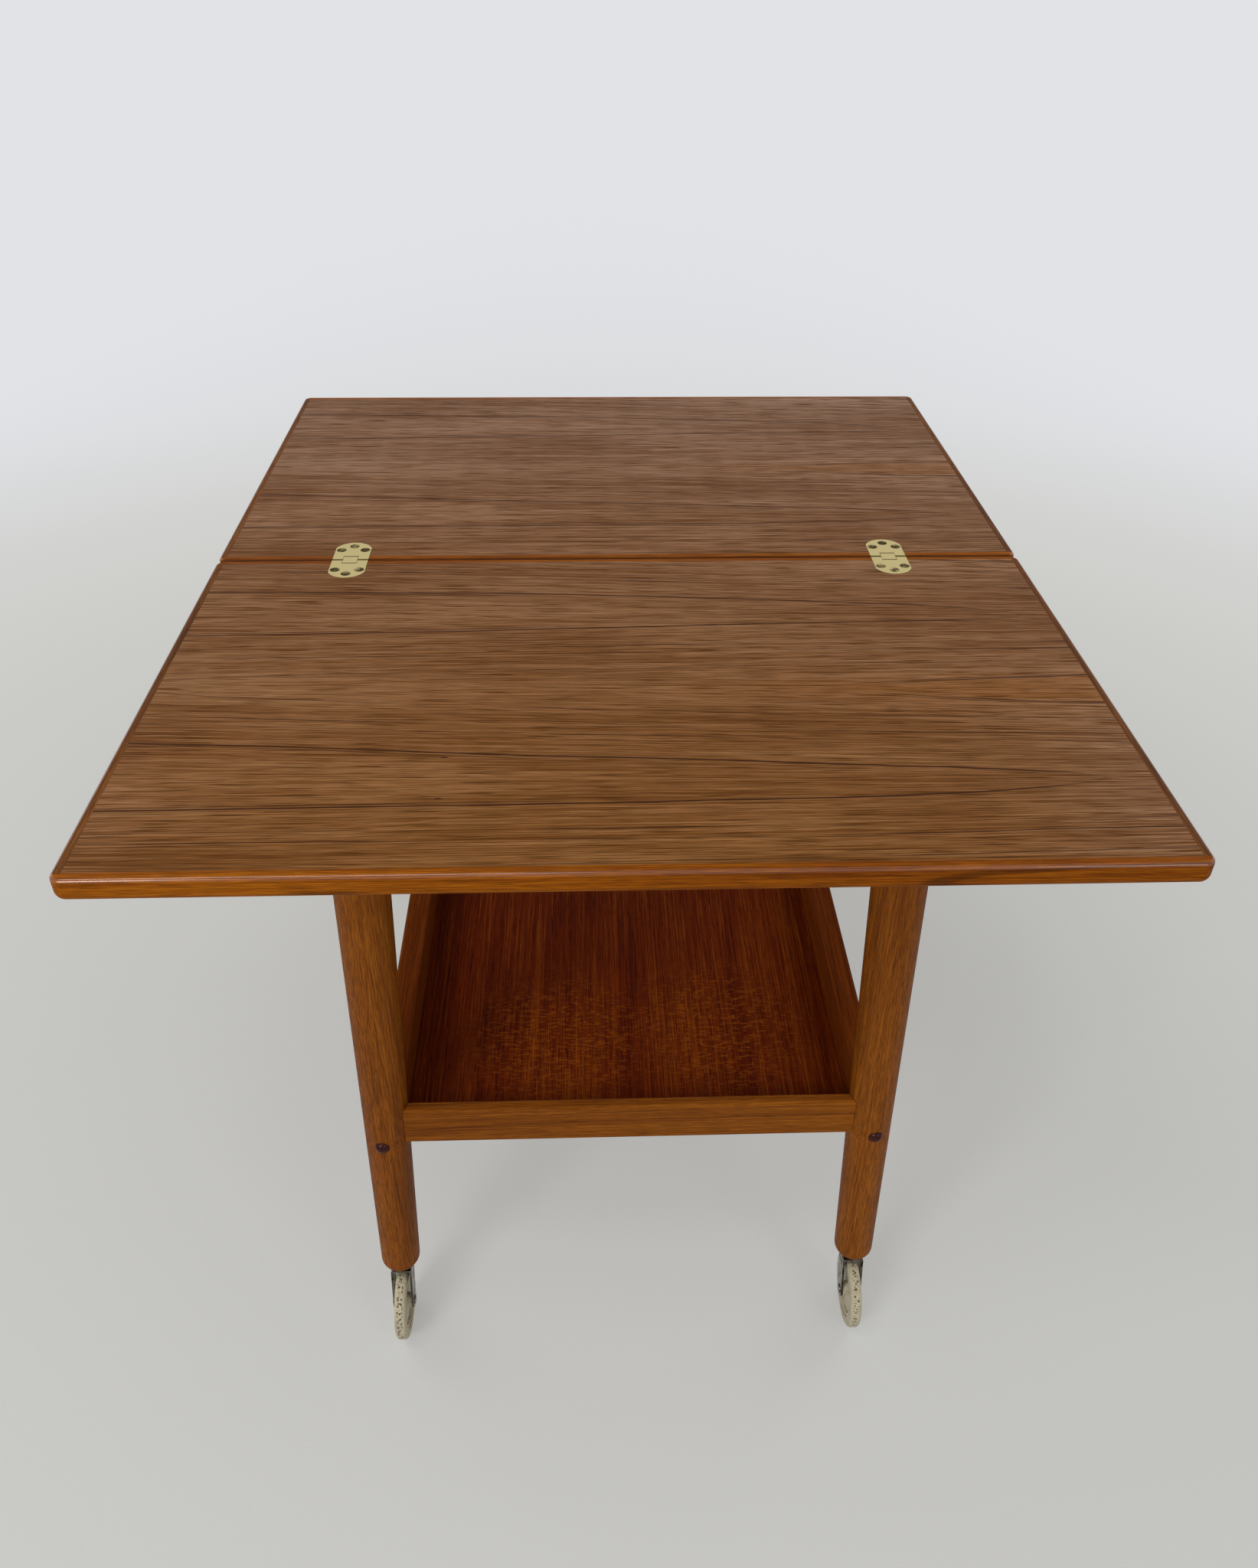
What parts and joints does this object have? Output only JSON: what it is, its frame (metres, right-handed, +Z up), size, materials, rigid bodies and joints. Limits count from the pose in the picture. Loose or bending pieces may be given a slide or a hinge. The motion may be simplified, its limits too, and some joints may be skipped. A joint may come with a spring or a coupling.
{
  "type": "tea trolley",
  "caption": "Wheeled wooden tea trolley with a fold-over top that opens flat across the frame and swivels shut, a rimmed lower tray, splayed round legs and swivel castors.",
  "frame": {"origin": "on the floor under the middle of the hinge line, which is the middle of the open top", "axes": "+X along the hinge line, +Y from the swivel leaf to the flap, +Z up"},
  "size_m": [0.7, 0.8544, 0.62],
  "materials": {
    "teak_veneer": "oiled satin",
    "teak_lipping": "oiled satin",
    "teak_frame": "oiled satin",
    "teak_tray": "oiled satin",
    "beech": "plain",
    "rosewood": "polished",
    "brass": "satin",
    "zinc_steel": "satin",
    "nickel_steel": "worn plating",
    "ivory_tyre": "worn",
    "ivory_hub": "worn",
    "felt": "felt"
  },
  "bodies": {
    "frame": {"leg_front_left": "teak_frame", "leg_front_right": "teak_frame", "leg_back_left": "teak_frame", "leg_back_right": "teak_frame", "side_apron_left": "teak_frame", "side_apron_right": "teak_frame", "end_apron_front": "teak_frame", "end_apron_back": "teak_frame", "tray_side_rim_left": "teak_frame", "tray_side_rim_right": "teak_frame", "tray_end_rim_front": "teak_frame", "tray_end_rim_back": "teak_frame", "tray_panel": "teak_tray", "tray_screws": "zinc_steel", "leg_plugs": "rosewood", "pivot_rail": "beech", "pivot_bush": "brass", "felt_pads": "felt", "castor_sockets": "nickel_steel"},
    "swivel_leaf": {"swivel_leaf_panel": "teak_veneer", "swivel_leaf_long_lippings": "teak_lipping", "swivel_leaf_end_lippings": "teak_lipping", "swivel_leaf_hinge_plates": "brass", "swivel_leaf_hinge_screws": "brass", "pivot_plate": "zinc_steel", "pivot_plate_screws": "zinc_steel", "pivot_bolt": "zinc_steel", "pivot_washer": "zinc_steel", "pivot_nut": "zinc_steel", "stop_dowels": "beech"},
    "hinge_links": {"hinge_links": "brass", "hinge_pins": "brass"},
    "flap": {"flap_panel": "teak_veneer", "flap_long_lippings": "teak_lipping", "flap_end_lippings": "teak_lipping", "flap_hinge_plates": "brass", "flap_hinge_screws": "brass"},
    "castor_front_left": {"castor_front_left_fork": "nickel_steel", "castor_front_left_stem": "nickel_steel", "castor_front_left_axle": "nickel_steel"},
    "wheel_front_left": {"castor_front_left_tyre": "ivory_tyre", "castor_front_left_hub": "ivory_hub"},
    "castor_front_right": {"castor_front_right_fork": "nickel_steel", "castor_front_right_stem": "nickel_steel", "castor_front_right_axle": "nickel_steel"},
    "wheel_front_right": {"castor_front_right_tyre": "ivory_tyre", "castor_front_right_hub": "ivory_hub"},
    "castor_back_left": {"castor_back_left_fork": "nickel_steel", "castor_back_left_stem": "nickel_steel", "castor_back_left_axle": "nickel_steel"},
    "wheel_back_left": {"castor_back_left_tyre": "ivory_tyre", "castor_back_left_hub": "ivory_hub"},
    "castor_back_right": {"castor_back_right_fork": "nickel_steel", "castor_back_right_stem": "nickel_steel", "castor_back_right_axle": "nickel_steel"},
    "wheel_back_right": {"castor_back_right_tyre": "ivory_tyre", "castor_back_right_hub": "ivory_hub"}
  },
  "joints": [
    {"name": "top_swivel", "type": "hinge", "parent": "frame", "child": "swivel_leaf", "pos_m": [-0.10685, -0.10685, 0.6], "axis": [0, 0, 1], "range_deg": [0, 90]},
    {"name": "link_turn", "type": "hinge", "parent": "swivel_leaf", "child": "hinge_links", "pos_m": [0, -0.0032, 0.6175], "axis": [1, 0, 0], "range_deg": [0, 90]},
    {"name": "flap_fold", "type": "hinge", "parent": "hinge_links", "child": "flap", "pos_m": [0, 0.0032, 0.6175], "axis": [1, 0, 0], "range_deg": [0, 90]},
    {"name": "castor_swivel_front_left", "type": "hinge", "parent": "frame", "child": "castor_front_left", "pos_m": [-0.2071, -0.3256, 0.082], "axis": [0, 0, 1], "continuous": true},
    {"name": "wheel_spin_front_left", "type": "hinge", "parent": "castor_front_left", "child": "wheel_front_left", "pos_m": [-0.2071, -0.3376, 0.034], "axis": [1, 0, 0], "continuous": true},
    {"name": "castor_swivel_front_right", "type": "hinge", "parent": "frame", "child": "castor_front_right", "pos_m": [0.2071, -0.3256, 0.082], "axis": [0, 0, 1], "continuous": true},
    {"name": "wheel_spin_front_right", "type": "hinge", "parent": "castor_front_right", "child": "wheel_front_right", "pos_m": [0.2071, -0.3376, 0.034], "axis": [1, 0, 0], "continuous": true},
    {"name": "castor_swivel_back_left", "type": "hinge", "parent": "frame", "child": "castor_back_left", "pos_m": [-0.2071, 0.3256, 0.082], "axis": [0, 0, 1], "continuous": true},
    {"name": "wheel_spin_back_left", "type": "hinge", "parent": "castor_back_left", "child": "wheel_back_left", "pos_m": [-0.2071, 0.3136, 0.034], "axis": [1, 0, 0], "continuous": true},
    {"name": "castor_swivel_back_right", "type": "hinge", "parent": "frame", "child": "castor_back_right", "pos_m": [0.2071, 0.3256, 0.082], "axis": [0, 0, 1], "continuous": true},
    {"name": "wheel_spin_back_right", "type": "hinge", "parent": "castor_back_right", "child": "wheel_back_right", "pos_m": [0.2071, 0.3136, 0.034], "axis": [1, 0, 0], "continuous": true}
  ]
}
